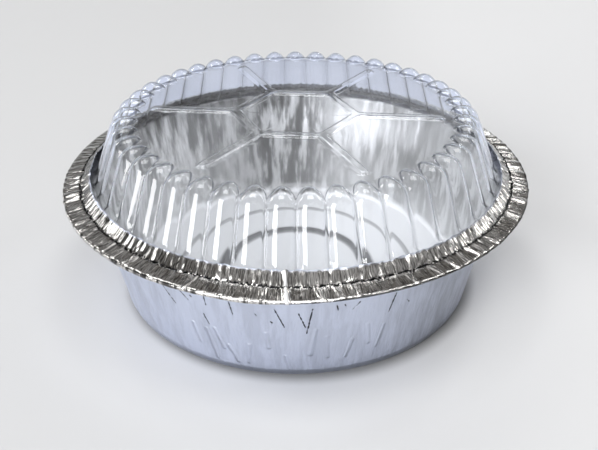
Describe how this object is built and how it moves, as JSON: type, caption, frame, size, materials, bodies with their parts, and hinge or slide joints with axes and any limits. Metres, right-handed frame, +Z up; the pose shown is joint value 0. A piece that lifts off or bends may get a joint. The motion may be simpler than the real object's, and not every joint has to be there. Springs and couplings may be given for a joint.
{
  "type": "foil food container",
  "caption": "Round foil take-out pan with its lip folded in over the flange of a clear fluted dome lid with a ribbed flat top.",
  "frame": {"origin": "centre of the pan's underside, on the surface that it stands on", "axes": "+Z up along the pan's axis, -Y towards the front, +X to the right"},
  "size_m": [0.1797, 0.1798, 0.0724],
  "materials": {
    "foil": "thin drawn foil, satin on the wall, bright and crinkled on the folded rim",
    "clear_lid": "clear glossy thermoformed sheet"
  },
  "bodies": {
    "root": {"foil_pan": "foil", "dome_lid": "clear_lid"}
  },
  "joints": []
}
